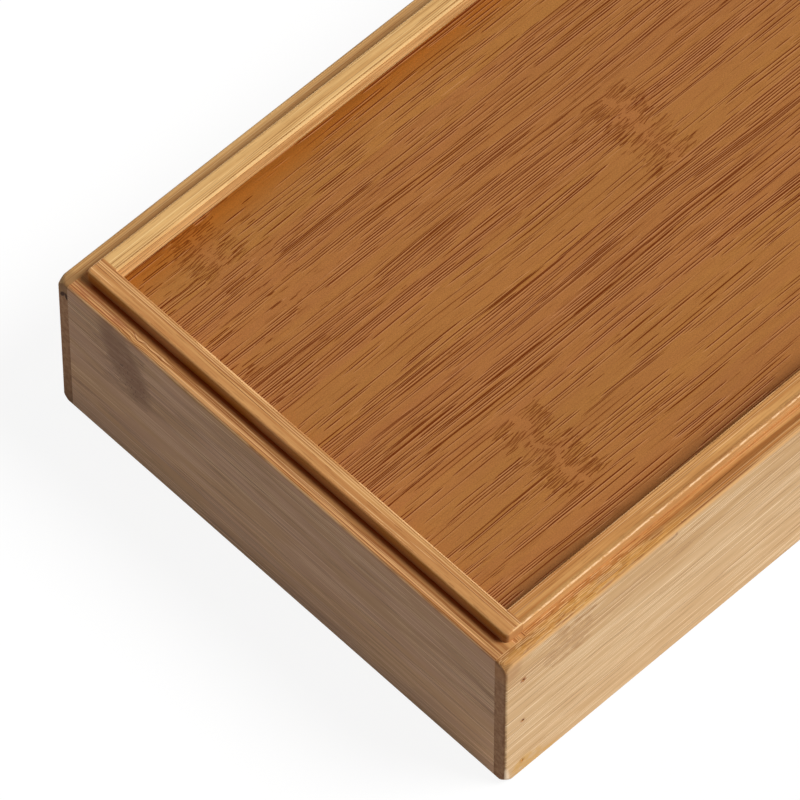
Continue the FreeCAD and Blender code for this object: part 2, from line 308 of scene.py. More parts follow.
def chances(count):
    """Three random numbers from 0 to 1 for each whole number."""
    node = count.tree.nodes.new("ShaderNodeTexWhiteNoise")
    node.noise_dimensions = "1D"
    plug(count, node.inputs["W"])
    split = count.tree.nodes.new("ShaderNodeSeparateXYZ")
    count.tree.links.new(node.outputs["Color"], split.inputs[0])
    return [Field(output) for output in split.outputs]


def blend(share, low, high):
    """The colour low where share is 0 and high where it is 1."""
    node = share.tree.nodes.new("ShaderNodeMix")
    node.data_type = "RGBA"
    plug(share, node.inputs[0])
    plug(low, node.inputs[6])
    plug(high, node.inputs[7])
    return Field(node.outputs[2])


def toned(colour, level):
    """The colour made lighter or darker by a field round 1."""
    node = level.tree.nodes.new("ShaderNodeVectorMath")
    node.operation = "SCALE"
    plug(colour, node.inputs[0])
    plug(level, node.inputs["Scale"])
    return Field(node.outputs[0])


def shade(red, green, blue):
    """A colour as it looks on a screen, from 0 to 255, as the linear colour that a shader takes."""
    screen = np.array([red, green, blue]) / 255.0
    linear = np.where(screen <= 0.04045, screen / 12.92, ((screen + 0.055) / 1.055) ** 2.4)
    return (*(float(v) for v in linear), 1.0)


print("mid grey is", round(shade(128, 128, 128)[0], 3), "in linear light")

# %% [markdown]
# ## Recipes
#
# The same little pattern is needed again and again. Kept as a node group, a recipe is built once and
# each use adds one node, which keeps the trees small enough to open and read. The decorator below
# turns a plain function of fields into such a group the first time that it is called.

# %% Recipes


def shared(recipe):
    """Keeps a function of number fields as one node group, built when it is first used."""
    names = list(inspect.signature(recipe).parameters)
    kept = []

    def group():
        tree = bpy.data.node_groups.new(recipe.__name__, "ShaderNodeTree")
        for name in names:
            tree.interface.new_socket(name, in_out="INPUT", socket_type="NodeSocketFloat")
        tree.interface.new_socket("result", in_out="OUTPUT", socket_type="NodeSocketFloat")
        start = tree.nodes.new("NodeGroupInput")
        end = tree.nodes.new("NodeGroupOutput")
        plug(recipe(*(Field(socket) for socket in list(start.outputs)[:len(names)])), end.inputs[0])
        return tree

    def use(*values):
        if not kept:
            kept.append(group())
        node = values[0].tree.nodes.new("ShaderNodeGroup")
        node.node_tree = kept[0]
        for value, socket in zip(values, node.inputs):
            plug(value, socket)
        return Field(node.outputs[0])

    return use


print("recipes built before their first use:", len(bpy.data.node_groups))

# %% [markdown]
# ## Fibres
#
# Bamboo is pale pulp with dark bundles of fibre running along it. On a sawn face they are thin dark
# lines that start and end in points, crowd together in places, and never cross. Stretched noise
# gives soft smears instead. So the face is cut into narrow lanes along the grain, and each lane
# draws its own line: its middle and its strength are random, and its width follows a slow noise.

# %% Fibres
LINE_EDGE = 0.11 * MM


@shared
def fibres(u, v, pitch, run, width, amount, seed):
    """Lines along u in lanes of one pitch across v. A slow noise along each lane is cut off at a level
    that falls as amount, a number or a field from 0 to 1, rises. What stands above it swells a line.
    Chance shifts each line by up to a fifth of the pitch, and makes it 0.45 to 1 times as wide and 0.55
    to 1 times as strong."""
    lane = v / pitch + seed
    one, two, three = chances(lane.floor())
    across = abs(lane.fraction() - 0.5 + (one - 0.5) * 0.4) * pitch
    swell = ((noise(u / run + two * 400.0, detail=1.0) + amount * 0.55 - 0.775) / 0.09).limited()
    half = swell * (three * 0.55 + 0.45) * (width / 2)
    line = ((half - across) / LINE_EDGE + 0.5).limited() * swell.rise(0.0, 0.5)
    return line * (two * 0.45 + 0.55)


def wander(u, v, seed, run=110 * MM, reach=1.3 * MM):
    """The place across the grain, pushed aside a little along the way, as grown fibres are."""
    return v + (noise(u / run + seed, v / (24 * MM), detail=1.0) - 0.5) * reach * 2.0


print("fibre lines fade over", LINE_EDGE / MM, "mm")

# %% [markdown]
# ## Strips and knuckles
#
# Boards are glued up from strips, each from another cane. So each strip has its own share of dark
# fibre, its own warmth, and its own knuckle: the place, once a hand's width along the cane, where
# the long fibres stop and short thick ones cross in a tangle round a smooth heart. The steps from
# strip to strip are a sum of thresholds, so a board can have any number of strips.

# %% Strips


class Strip:
    """One strip: its upper edge across the grain, its knuckle's place along it, how crowded its
    fibres are, how golden it is, and how deep the sawn face cuts into its knuckle."""

    def __init__(self, edge, knuckle, crowding=0.5, gold=0.5, tangle=1.0):
        self.edge = edge * MM
        self.knuckle = knuckle * MM
        self.crowding = crowding
        self.gold = gold
        self.tangle = tangle


def by_strip(v, strips, name):
    """The value that each point's own strip has, as steps across the grain."""
    values = [getattr(strip, name) for strip in strips]
    result = v * 0.0 + values[0]
    for strip, here, following in zip(strips, values, values[1:]):
        if following != here:
            result = result + v.above(strip.edge) * (following - here)
    return result


print("a plain strip has", vars(Strip(0.0, 0.0)))

# %% Knuckles
HEART_REACH = 8 * MM
HEART_CORE = 1 * MM
FIBRES_STOP = 2 * MM
FIBRES_WHOLE = 9 * MM
TANGLE_REACH = 16 * MM


def knuckle_fields(u, v, strips, seed):
    """Share of the long fibres that is left, the short fibres, and the smooth heart of the knuckle. All
    three follow from how near a point is to its strip's knuckle, with a ragged border. The short fibres
    are two sets of lanes, one along the grain and one a little askew."""
    offset = u - by_strip(v, strips, "knuckle")
    tangle = by_strip(v, strips, "tangle")
    near = abs(offset + (noise(v / (9 * MM) + seed, detail=3.0, rough=0.7) - 0.5) * 12 * MM)
    ragged = (noise(v / (1.7 * MM) + seed, detail=1.0) - 0.5) * 16 * MM
    long_left = ((near + ragged).rise(FIBRES_STOP, FIBRES_WHOLE) - 1.0) * tangle + 1.0
    thinner = near.rise(0.5 * MM, 2.0 * MM) * 0.55 + 0.45
    ring = (near + ragged * 0.6).rise(TANGLE_REACH, FIBRES_WHOLE) * thinner * tangle
    comb = noise(v / (3.4 * MM) + seed, u / (9 * MM), detail=1.0)
    stray = (noise(v / (4 * MM) + seed, u / (11 * MM), detail=1.0) - 0.5) * 1.5 * MM
    share = comb * 1.4 + ring * 0.7 - 0.70
    straight = fibres(u, v + stray, 1.15 * MM, 16 * MM, 0.56 * MM, share + 0.05, seed + 11.0)
    askew = fibres(u, v + stray + offset * 0.12, 1.6 * MM, 13 * MM, 0.50 * MM, share - 0.05, seed + 17.0)
    short = straight.largest(askew) * ring.rise(0.0, 0.5)
    return long_left, short, near.rise(HEART_REACH, HEART_CORE) * tangle


print("a knuckle's tangle reaches", TANGLE_REACH / MM, "mm along the cane to each side")

# %% [markdown]
# ## A finish for bamboo
#
# A finish is more than a colour. Satin lacquer leaves the open grain a little sunk and a little
# duller, so each bamboo gives its colour, its height and its roughness to one lacquer recipe. The
# position comes from Object coordinates, which lie still in a piece when it moves.

# %% Materials and where a point lies
LACQUER_SHINE = 0.06
GRAIN_STRENGTH = 0.6


def new_material(name):
    """An empty material with a Principled shader in its node tree."""
    material = bpy.data.materials.new(name)
    material.use_nodes = True
    return material


def position(tree):
    """The three coordinates of a point on a piece, as fields."""
    place = tree.nodes.new("ShaderNodeTexCoord")
    split = tree.nodes.new("ShaderNodeSeparateXYZ")
    tree.links.new(place.outputs["Object"], split.inputs[0])
    return dict(zip("XYZ", (Field(output) for output in split.outputs)))


def finish_wood(material, colour, height, depth, roughness):
    """Satin lacquer over a colour, with the open grain a little sunk and a little duller."""
    tree = material.node_tree
    shader = tree.nodes["Principled BSDF"]
    bump = tree.nodes.new("ShaderNodeBump")
    bump.inputs["Strength"].default_value = GRAIN_STRENGTH
    bump.inputs["Distance"].default_value = depth
    plug(height, bump.inputs["Height"])
    tree.links.new(bump.outputs[0], shader.inputs["Normal"])
    plug(colour, shader.inputs["Base Color"])
    plug(roughness, shader.inputs["Roughness"])
    shader.inputs["Specular IOR Level"].default_value = LACQUER_SHINE
    return material


print("the lacquer has a specular level of", LACQUER_SHINE, "where plain plastic has 0.5")

# %% [markdown]
# ## The sunken panel
#
# The panel is caramel bamboo: steamed, which browns it all through. Its strips are about 42 mm wide
# and lie flat, so their fibres show as long dark lines and their knuckles as dark tangles. Two sets
# of lanes of different width keep the lines from looking ruled, and a finer set fills the ground.
# Beside each dark line lies a pale one, a painted highlight as on the edge of a groove. Towards the
# closed end, on one side, the fibres surface only here and there, so a set of short dashes fades in.

# %% Strips and tints of the panel
PANEL_STRIPS = (Strip(-86.0, -70.0, 0.40, 0.35), Strip(-44.0, 94.0, 0.34, 0.70),
                Strip(-2.5, -122.0, 0.80, 0.30), Strip(20.0, -40.0, 0.34, 0.70),
                Strip(42.0, -40.0, 0.85, 0.35), Strip(84.0, 112.0, 0.62, 0.40, 0.3),
                Strip(999.0, 126.0, 0.46, 0.90))
CARAMEL_RED = shade(158, 100, 55)
CARAMEL_GOLD = shade(163, 108, 54)
CARAMEL_LINE = shade(100, 41, 0)
# painted highlight beside each dark line
CARAMEL_LIGHT = shade(202, 144, 98)
CARAMEL_HEART = shade(161, 101, 56)
CARAMEL_RIM = shade(154, 87, 20)
print("the panel has", len(PANEL_STRIPS), "strips")

# %% Caramel bamboo
LINE_PITCH = 1.05 * MM
LINE_RUN = 44 * MM


def caramel_ground(u, v, x, heart, flecks):
    """The wood between the lines: redder or more golden by strips, more orange towards one side, with
    painted shade at its edges beside the tongue, and never even.
    """
    drift = (noise(v / (6 * MM), u / (190 * MM), detail=2.0) - 0.5) * 1.1
    warmth = by_strip(x, PANEL_STRIPS, "gold") + drift
    ground = blend(warmth.limited(), CARAMEL_RED, CARAMEL_GOLD)
    ground = blend(heart * 0.5, ground, CARAMEL_HEART)
    ground = blend(x.rise(92 * MM, 108 * MM) * 0.7, ground, CARAMEL_RIM)
    # painted shade along the panel's edges, at the foot of the tongue
    rims = x.rise(-98 * MM, -104 * MM) * 0.26 + x.rise(105.5 * MM, 108.5 * MM) * 0.2
    ground = toned(ground, -rims + 1.0)
    cloud = noise(v / (26 * MM), u / (120 * MM), detail=1.0)
    grit = noise(v / (0.42 * MM), u / (0.6 * MM), detail=1.0)
    return toned(ground, flecks * 0.30 + cloud * 0.16 + grit * 0.45 + 0.53)


def caramel_bamboo():
    """Dark lines over a brown ground: crowded in some strips, thin in others, and lost in the knuckles."""
    material = new_material("caramel_bamboo")
    place = position(material.node_tree)
    u, x = place["Y"], place["X"]
    v = wander(u, x, 5.0)
    long_left, short, heart = knuckle_fields(u, x, PANEL_STRIPS, 21.0)
    clumps = noise(v / (5 * MM), u / (210 * MM), detail=2.0, rough=0.6)
    crowd = (by_strip(x, PANEL_STRIPS, "crowding") * 0.7 + (clumps - 0.5) * 2.2 + 0.16).limited()
    crowd = crowd + (long_left - 1.0) * 1.4
    dashed = u.rise(50 * MM, 130 * MM) * x.rise(-10 * MM, 60 * MM)
    dashes = fibres(u, v + 0.3 * MM, 1.9 * MM, 17 * MM, 0.50 * MM, dashed * 0.45 - 0.05, 140.0)
    lines = fibres(u, v, LINE_PITCH, LINE_RUN, 0.56 * MM, crowd * 0.60 + 0.18, 0.0)
    wide = fibres(u, v, 2.3 * MM, 90 * MM, 0.58 * MM, crowd * 0.3 - dashed * 0.1 + 0.26, 40.0)
    bold = lines.largest(wide).largest(dashes)
    fine = fibres(u, v, 0.55 * MM, 26 * MM, 0.34 * MM, crowd * 0.3 + 0.25, 90.0)
    beside = fibres(u, v + 0.42 * MM, LINE_PITCH, LINE_RUN, 0.50 * MM, crowd * 0.60 + 0.2, 0.0)
    flecks = noise(v / (0.42 * MM), u / (7 * MM), detail=2.0, rough=0.7)
    ground = caramel_ground(u, v, x, heart, flecks)
    # a pale line painted beside each dark one, as the highlight on a groove's edge
    ground = blend(beside * 0.5, ground, CARAMEL_LIGHT)
    colour = blend((bold * 1.3 + fine * 0.4).limited(), ground, CARAMEL_LINE)
    colour = blend(short * 0.9, colour, CARAMEL_LINE)
    return finish_wood(material, colour, flecks * 0.3 - lines, 0.06 * MM, bold * 0.10 + 0.42)


CARAMEL = caramel_bamboo()
print("caramel bamboo nodes:", len(CARAMEL.node_tree.nodes))

# %% [markdown]
# ## The boards
#
# The boards are natural bamboo, pale because it is only dried. A board has three kinds of surface.
# Its faces are calm, with faint bands and hair lines. Its edges cut through three plies and show
# close, warm lines. Its ends show the bundles end on, in a duller brown. One recipe makes all three,
# and the way that a point faces says which one it shows.

# %% Tints of the boards
NATURAL = {"face_pale": shade(226, 189, 143), "face_deep": shade(205, 161, 110),
           "face_line": shade(152, 96, 48), "face_light": shade(255, 228, 188),
           "edge_pale": shade(206, 154, 93), "edge_deep": shade(170, 110, 57),
           "edge_line": shade(112, 54, 16), "edge_light": shade(236, 190, 136),
           "end_pale": shade(170, 128, 93), "end_deep": shade(146, 104, 73)}
YELLOWER = {**NATURAL, "edge_pale": shade(219, 175, 114), "edge_deep": shade(199, 152, 94),
            "edge_line": shade(132, 82, 40), "edge_light": shade(237, 202, 144)}
GREYER = {**NATURAL, "face_pale": shade(196, 154, 115), "face_deep": shade(180, 136, 97),
          "face_line": shade(94, 60, 40), "face_light": shade(234, 197, 160),
          "edge_pale": shade(198, 147, 91), "edge_deep": shade(174, 117, 67)}
print("tints of a board:", ", ".join(NATURAL))

# %% Faces
LEAST_DARK = 0.1
PALE_HAIRS = 0.55


def face_look(u, v, strips, seed, tint):
    """Calm bands along the board, hair lines darker and paler than they are, and the knuckles."""
    w = wander(u, v, seed, reach=0.8 * MM)
    long_left, short, heart = knuckle_fields(u, v, strips, seed)
    bands = noise(w / (5 * MM) + seed, u / (420 * MM), detail=3.0, rough=0.6) - 0.5
    calm = (bands * 1.3 - by_strip(v, strips, "gold") + 1.0).limited()
    colour = blend(calm, tint["face_deep"], tint["face_pale"])
    crowd = by_strip(v, strips, "crowding") + (noise(w / (8 * MM) + seed, u / (160 * MM)) - 0.5) * 1.4
    amount = crowd.limited() * 0.6 + LEAST_DARK
    dark = fibres(u, w, 0.95 * MM, 60 * MM, 0.50 * MM, amount, seed) * long_left
    light = fibres(u, w, 1.25 * MM, 75 * MM, 0.50 * MM, PALE_HAIRS, seed + 60.0)
    colour = blend(light, colour, tint["face_light"])
    colour = blend((dark * 0.75).largest(short * 0.7), colour, tint["face_line"])
    return blend(heart * 0.10, colour, tint["face_line"])


print("even the calmest strip takes dark hair lines by an amount of", LEAST_DARK)

# %% Edges and ends
PLY_SEAM = 0.5 * MM


def edge_look(u, across, plies, curl, seed, tint):
    """Close lines along the board where the outer plies are cut, and a plainer, flamed middle ply. The
    plies field is 1 in the outer plies and 0 in the middle one, and curl says where the lines are bent."""
    sway = (noise(u / (60 * MM) + seed, across / (6 * MM), detail=1.0) - 0.5) * 1.2 * MM
    w = across + sway * (plies * -0.6 + 1.0)
    bent = (noise(u / (9 * MM) + seed, across / (5 * MM), detail=1.0) - 0.5) * 3.2 * MM
    w = w + bent * curl
    tone = noise(w / (1.7 * MM) + seed, u / (90 * MM), detail=3.0)
    colour = blend(tone.rise(0.2, 0.8), tint["edge_deep"], tint["edge_pale"])
    light = fibres(u, w, 1.15 * MM, 90 * MM, 0.50 * MM, plies * 0.35 + 0.3, seed + 31.0)
    dark = fibres(u, w, 0.95 * MM, 90 * MM, 0.48 * MM, plies * 0.55 + 0.12, seed)
    flame = fibres(u, w, 1.2 * MM, 12 * MM, 0.45 * MM, plies * -0.2 + 0.5, seed + 7.0)
    colour = blend(light * 0.70, colour, tint["edge_light"])
    return blend((dark * 0.80).largest(flame * 0.35), colour, tint["edge_line"])


def end_look(v, w, seed, tint):
    """Cut ends of the bundles: a close, even mottle with small darker dots."""
    mottle = noise(v / (2.6 * MM), w / (2.6 * MM) + seed, detail=2.0, rough=0.6)
    dots = noise(v / (0.55 * MM) + seed, w / (0.55 * MM), detail=1.0).rise(0.55, 0.72)
    colour = blend(mottle.rise(0.3, 0.7), tint["end_deep"], tint["end_pale"])
    return blend(dots * 0.2, colour, tint["edge_line"])


def ply_field(depth, thick, ply):
    """1 in the outer plies of a board and 0 in its middle one."""
    return abs(depth - thick / 2).rise(thick / 2 - ply - PLY_SEAM, thick / 2 - ply + PLY_SEAM)


print("the seam between two plies fades over", 2 * PLY_SEAM / MM, "mm")

# %% [markdown]
# ## Wear, painted highlights and painted shade
#
# Sanded edges are where handling wears first. The sharp arrises are painted paler, in patches,
# partly as wear and partly as the highlight that a sharp edge catches. Painted shade darkens the
# inside corner between the ledge and the tongue, and the inner half of the ledge beside it. The masks
# come from the shape: an arris is where a point faces two ways at once, and the corner is a known place.

# %% Where the board's parts lie
low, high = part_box("side_board_left")
CASE_X = -low.x
CASE_Y = -low.y
THICK = high.x - low.x
LEDGE_Z = frame["record"]["mounts"][1]["pos_m"][2]
LEDGE_WIDE = 8.2 * MM
PLY = 4.3 * MM
FACE_TOP = LEDGE_Z - 1.2 * MM
PANEL_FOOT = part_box("top_panel")[0].z
print("boards", round(THICK / MM, 1), "mm thick, ledge", round(LEDGE_Z / MM, 1), "mm up")

# %% Worn places, painted highlights and painted shade
# how far the painted shade reaches out of the inside corner
CORNER_DIRT = 3.6 * MM


def facing(tree):
    """How squarely a point faces along each axis, from 0 to 1."""
    surface = tree.nodes.new("ShaderNodeTexCoord")
    split = tree.nodes.new("ShaderNodeSeparateXYZ")
    tree.links.new(surface.outputs["Normal"], split.inputs[0])
    return dict(zip("XYZ", (abs(Field(output)) for output in split.outputs)))


def arris(faces, place, seed, crest, rim):
    """Patches along the edges that look two ways at once, painted paler as wear and as painted highlight.
    Crest, a number or a field, and rim say how strong they are on the tongue and on the edges below it."""
    sideways = faces["X"].largest(faces["Y"])
    bend = sideways.squared() * faces["Z"] * 2.6
    bend = bend * ((crest - rim) * place["Z"].rise(LEDGE_Z, LEDGE_Z + 2 * MM) + rim)
    bend = bend * (faces["Z"].rise(0.93, 0.80) * 0.4 + 0.6)
    patches = noise(place["X"] / (14 * MM) + seed, place["Y"] / (14 * MM), place["Z"] / (2 * MM), detail=3.0)
    return bend.rise(0.55, 0.98) * patches.rise(0.30, 0.56)


def corner_dirt(u, depth, place, reach):
    """1 in the inside corner where the ledge meets the tongue, fading over a few millimetres and before
    the tongue's ends: the place of painted shade."""
    across = abs(depth - LEDGE_WIDE).rise(CORNER_DIRT, 0.0)
    along = abs(place["Z"] - LEDGE_Z).rise(CORNER_DIRT * 1.8, 0.0)
    return across * along * abs(u).rise(reach, reach - 6 * MM)


def on_ledge(depth, faces):
    """1 on the inner half of the ledge, beside the tongue, and 0 at its rim: the place of painted shade."""
    ledge = depth.rise(LEDGE_WIDE + 0.3 * MM, LEDGE_WIDE - 0.3 * MM) * faces["Z"].rise(0.5, 0.9)
    return ledge * depth.rise(-1.0 * MM, 4.5 * MM)


def nicks(faces, place, seed):
    """Small splintered patches down the upright corners, where end grain breaks out."""
    rough = noise(place["X"] / (2 * MM) + seed, place["Y"] / (2 * MM), place["Z"] / (3 * MM), detail=3.0)
    return (faces["X"] * faces["Y"] * 2.0).rise(0.3, 0.9) * rough.rise(0.46, 0.62)


print("dirt spreads", CORNER_DIRT / MM, "mm out of the inside corner")

# %% [markdown]
# ## One recipe for every board
#
# All boards come from the same stack of bamboo, so they share one recipe, and what tells them apart
# is given to it: the way the grain runs, the strips, the tint, how worn the board is and how much
# light and shade is painted on it. Only the boards of the case have an outer face, a tongue and a
# ledge, and their wear, painted highlights and painted shade are laid on last.

# %% A recipe for every board
# painted shade for the inside corner between the ledge and the tongue
DIRT = shade(142, 56, 0)
NICKED = shade(128, 86, 54)
# painted shade for the inner half of the ledge, beside the tongue
RUBBED = shade(110, 66, 34)
# paler arris colour: wear and painted highlight
WORN = shade(240, 200, 146)
TONGUE_END = shade(214, 152, 90)
CURL_REACH = 22 * MM
CURL_CORE = 7 * MM


def board_bamboo(name, along, through, across, strips, seed, tint=NATURAL, outer=None, dirt=0.4,
                 rubbed=0.1, crest=(0.9, 0.9), rim=0.6, sides=1.0, curl=None, marks=None):
    """Bamboo for a board whose grain runs along one axis, whose faces look through another and whose
    width lies across the third. Outer is the place of a case board's outer face. The numbers after it
    say how much painted shade lies in the inside corner and on the ledge, how strong the wear and
    painted highlights on the arrises are, how much lighter or darker the tongue's side faces are
    painted, and where its edge lines curl. Marks adds what only this board has."""
    material = new_material(name)
    tree = material.node_tree
    place = position(tree)
    faces = facing(tree)
    u, w, v = place[along], place[through], place[across]
    flat = faces[through].rise(0.55, 0.85)
    cut = faces[along].rise(0.6, 0.85)
    depth = -abs(w) + outer if outer else w
    plies = ply_field(depth, THICK, PLY) if outer else w * 0.0 + 0.5
    if outer:
        inside = depth.above(THICK / 2) * place["Z"].above(PANEL_FOOT)
        flat = flat * place["Z"].rise(FACE_TOP + 0.4 * MM, FACE_TOP - 0.4 * MM) * (-inside + 1.0)
    bent = 0.0
    if curl:
        bent = abs(u - curl * MM).rise(CURL_REACH, CURL_CORE) * v.rise(LEDGE_Z + 2 * MM, LEDGE_Z + 1 * MM)
    edge = edge_look(u, depth + v, plies, bent, seed, tint)
    colour = blend(flat, edge, face_look(u, v, strips, seed, tint))
    ends = end_look(v, w, seed, tint)
    if outer:
        ends = blend(place["Z"].above(LEDGE_Z) * 0.75, ends, TONGUE_END)
    colour = blend(cut, colour, ends)
    hair = noise((v + w) / (0.5 * MM), u / (12 * MM), detail=2.0, rough=0.7)
    colour = toned(colour, hair * 0.26 + 0.87)
    if outer:
        # the tongue's side faces painted lighter or darker: painted light and painted shade
        side = faces[through].rise(0.7, 1.0) * place["Z"].above(FACE_TOP)
        colour = toned(colour, side * (sides - 1.0) + 1.0)
    crests = depth.above(THICK * 0.7) * (crest[1] - crest[0]) + crest[0]
    # the arrises painted paler, partly as wear and partly as painted highlight
    colour = blend(arris(faces, place, seed, crests, rim) * 0.75, colour, WORN)
    if outer:
        colour = blend(nicks(faces, place, seed) * 0.5, colour, NICKED)
        # painted shade on the inner half of the ledge, beside the tongue
        colour = blend(on_ledge(depth, faces) * rubbed, colour, RUBBED)
        # painted shade in the inside corner between the ledge and the tongue
        reach = {"X": CASE_X, "Y": CASE_Y}[along] - LEDGE_WIDE
        colour = blend(corner_dirt(u, depth, place, reach) * dirt, colour, DIRT)
    if marks:
        colour = marks(colour, place, faces)
    return finish_wood(material, colour, hair, 0.05 * MM, cut * 0.12 + 0.48)


print("edge lines curl over", 2 * CURL_REACH / MM, "mm of a board")

# %% [markdown]
# ## Marks that only one board has
#
# Real boards are told apart by their accidents. The lit long board has a halo of rust round each
# brad and a glue stain by its lowest corner. The closed end has a smoky knot. The other long board
# lost a chip beside the lap joint. Each is a soft ellipse, broken up with a little noise, and fine
# strokes and scratches are short fibres that an ellipse lets through.

# %% A soft ellipse
SPOT_RIM = 1.5
SPOT_CORE = 0.3


def spot(a, b, place_a, place_b, reach_a, reach_b):
    """1 inside an ellipse on a face and 0 outside it, with a soft rim."""
    along_a = (a - place_a * MM) / (reach_a * MM)
    along_b = (b - place_b * MM) / (reach_b * MM)
    return (along_a.squared() + along_b.squared()).rise(SPOT_RIM, SPOT_CORE)


print("an ellipse of 10 mm fades out at", round(10 * math.sqrt(SPOT_RIM), 1), "mm")

# %% Marks of the lit long board
BRADS_AT = 168.4
RUST = shade(164, 96, 48)
GLUE = shade(216, 164, 78)
# painted highlight for the lowest, rounded corner
BARE_CORNER = shade(250, 226, 196)
HANDLED_CORNER = shade(176, 122, 76)
HOOKED_STAIN = shade(142, 92, 56)
# pale lip colour, also laid on the tongue's outer side as painted light
PALE_LIP = shade(240, 190, 130)
GOLDEN = shade(220, 164, 80)
DARK_STROKE = shade(140, 80, 32)
SCRATCH = shade(250, 214, 160)
# painted highlight for the tongue's outer arris
SHINING_ARRIS = shade(255, 216, 172)


def left_face_marks(colour, y, z, out):
    """Rust, glue, a painted highlight on the lowest corner, a worn upper corner and a small hooked stain, on
    the board's outer face.
    """
    rust = spot(y, z, BRADS_AT, 67.5, 1.7, 1.5).largest(spot(y, z, BRADS_AT, 38.0, 1.4, 1.3) * 0.6)
    rust = rust.largest(spot(y, z, BRADS_AT, 8.5, 1.8, 1.8) * 0.7)
    colour = blend(rust * out * 0.75, colour, RUST)
    glue = spot(y, z, 166.0, 6.0, 8.0, 5.0).largest(spot(y, z, 160.0, 2.0, 13.0, 2.2))
    glue = glue * noise(y / (5 * MM), z / (2.5 * MM), detail=3.0).rise(0.3, 0.55)
    colour = blend(glue * out * 0.6, colour, GLUE)
    # painted highlight on the lowest corner
    colour = blend(spot(y, z, 177.5, 3.0, 2.2, 8.0) * out * 0.7, colour, BARE_CORNER)
    colour = blend(spot(y, z, 176.0, 82.0, 7.0, 9.0) * 0.45, colour, HANDLED_CORNER)
    hook = spot(y, z, 88.0, 81.2, 3.4, 0.6).largest(spot(y, z, 85.4, 82.2, 0.8, 1.3))
    return blend(hook * 0.6, colour, HOOKED_STAIN)


def left_ledge_marks(colour, x, y, z, up):
    """Darker bands along the ledge and the tongue, partly painted shade, a golden stretch, strokes, and
    scratches.
    """
    # darker bands: one along the middle of the ledge, and painted shade on the ledge's rounded rim and the
    # tongue's top edge, which dims their highlights
    tracks = spot(x, z, 122.6, 85.0, 1.4, 3.0) * 0.20 + spot(x, z, 126.2, 85.0, 0.8, 3.0) * 0.16
    tracks = tracks + spot(x, z, 117.5, 91.0, 0.9, 2.0) * 0.20
    colour = toned(colour, tracks * -1.0 + 1.0)
    golden = spot(x, y, 124.5, 128.0, 3.4, 52.0) * up.rise(0.3, 0.8)
    golden = golden * noise(x / (3 * MM), y / (14 * MM), detail=2.0).rise(0.36, 0.56)
    colour = blend(golden * 0.4, colour, GOLDEN)
    strokes = fibres(y, x + z, 0.9 * MM, 13 * MM, 0.5 * MM, 0.62, 63.0)
    strokes = strokes * spot(x, y, 121.5, 130.0, 5.0, 60.0)
    colour = blend(strokes * up * 0.85, colour, DARK_STROKE)
    scratch = fibres(y - (x + z) * 3.0, x + z, 0.8 * MM, 8 * MM, 0.34 * MM, 0.62, 83.0)
    scratch = scratch * spot(x, y, 122.5, 140.0, 4.4, 46.0)
    return blend(scratch * up * 0.5, colour, SCRATCH)


def left_marks(colour, place, faces):
    """The marks of face and ledge, a pale lip with painted light on the tongue's side, and a painted broken
    highlight on the tongue's arris.
    """
    x, y, z = abs(place["X"]), place["Y"], place["Z"]
    out = faces["X"].rise(0.5, 0.8)
    colour = left_face_marks(colour, y, z, out)
    # a paler band along the top of the face, and painted light on the tongue's outer side above it
    lip = z.rise(81.2 * MM, 84.2 * MM) * (z.above(LEDGE_Z) * -0.6 + 1.0)
    colour = blend(lip * out * 0.6, colour, PALE_LIP)
    colour = left_ledge_marks(colour, x, y, z, faces["Z"])
    # a broken painted highlight along the tongue's outer arris
    broken = noise(y / (4 * MM), z / (1 * MM), detail=3.0, rough=0.7).rise(0.38, 0.55)
    line = abs(z - 90.3 * MM).rise(0.50 * MM, 0.2 * MM) * x.above(CASE_X - LEDGE_WIDE - 2 * MM)
    return blend(line * broken * 0.7, colour, SHINING_ARRIS)


print("rust lies", round(CASE_Y / MM - BRADS_AT, 1), "mm from the board's end")

# %% Marks of the closed end
KNOT_AT = 88.0
KNOT_LEAN = 0.45
SCORCHED_TOP = shade(176, 118, 62)
MAUVE = shade(202, 158, 134)
SMOKE = shade(140, 100, 71)
KNOT_STROKE = shade(116, 78, 54)
SOOT = shade(84, 52, 34)
# painted shade for the tongue's side faces
TONGUE_SIDE = shade(172, 102, 22)
DARK_SEAM = shade(128, 62, 26)
PALE_SEAM = shade(246, 196, 138)
STREAK = shade(150, 86, 54)


def back_face_marks(colour, x, z, out):
    """Painted light that makes the face paler towards its foot and a little darker towards its top, a warm
    top band, a mauve cast, and the smoky knot with its short strokes and specks.
    """
    # painted light and shade: the face paler towards its foot, a little darker above
    colour = toned(colour, (z.rise(62 * MM, 6 * MM) * 0.36 - 0.10) * out + 1.0)
    colour = blend(z.rise(79 * MM, 85 * MM) * out * 0.35, colour, SCORCHED_TOP)
    mauve = noise(x / (45 * MM) + 8.0, z / (9 * MM), detail=2.0).rise(0.4, 0.62)
    colour = blend(mauve * out * 0.3, colour, MAUVE)
    haze = noise(x / (12 * MM), z / (2.4 * MM), detail=4.0, rough=0.6).rise(0.25, 0.6)
    smoke = spot(x - (z - 65 * MM) * KNOT_LEAN, z, KNOT_AT, 66.0, 11.0, 20.0) * (haze * 0.6 + 0.4)
    colour = blend(smoke * out, colour, SMOKE)
    strokes = fibres(x, z, 1.4 * MM, 9 * MM, 0.8 * MM, 0.65, 71.0) * spot(x, z, 95.0, 67.0, 15.0, 14.0)
    colour = blend(strokes * out * 0.5, colour, KNOT_STROKE)
    specks = noise(x / (1.0 * MM), z / (2.0 * MM), detail=1.0).rise(0.64, 0.72)
    return blend(specks * spot(x, z, 85.0, 57.0, 11.0, 10.0) * out * 0.6, colour, SOOT)


